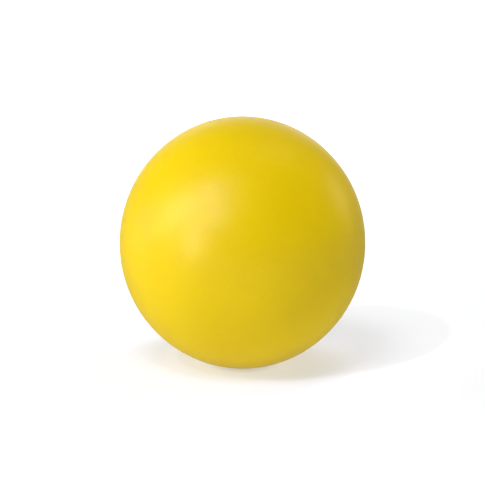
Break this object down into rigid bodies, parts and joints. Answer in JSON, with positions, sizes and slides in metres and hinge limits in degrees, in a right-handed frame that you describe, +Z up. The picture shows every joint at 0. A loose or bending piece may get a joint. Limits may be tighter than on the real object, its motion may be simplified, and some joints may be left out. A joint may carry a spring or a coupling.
{
  "type": "stress ball",
  "caption": "Solid foam stress ball: a smooth satin squeeze ball with a soft cellular core, standing on the small flat of its trimmed gate.",
  "frame": {"origin": "centre of the trimmed gate's flat face, on the surface that the ball stands on", "axes": "+Z up along the mould's axis, from the trimmed gate to the opposite pole; X and Y are any two level directions, because every piece is turned about Z"},
  "size_m": [0.063, 0.063, 0.0644],
  "materials": {
    "coated_skin": "satin",
    "foam": "matte",
    "sealer": "satin"
  },
  "bodies": {
    "lower_half": {"lower_skin": "coated_skin", "foam_core": "foam", "gate_seal": "sealer"},
    "upper_half": {"upper_skin": "coated_skin"}
  },
  "joints": [
    {"name": "squeeze", "type": "slide", "parent": "lower_half", "child": "upper_half", "axis": [0, 0, -1], "range_m": [0, 0.0258], "stiffness_N_per_m": 2500, "deforming": ["foam_core", "lower_skin", "upper_skin"]}
  ]
}
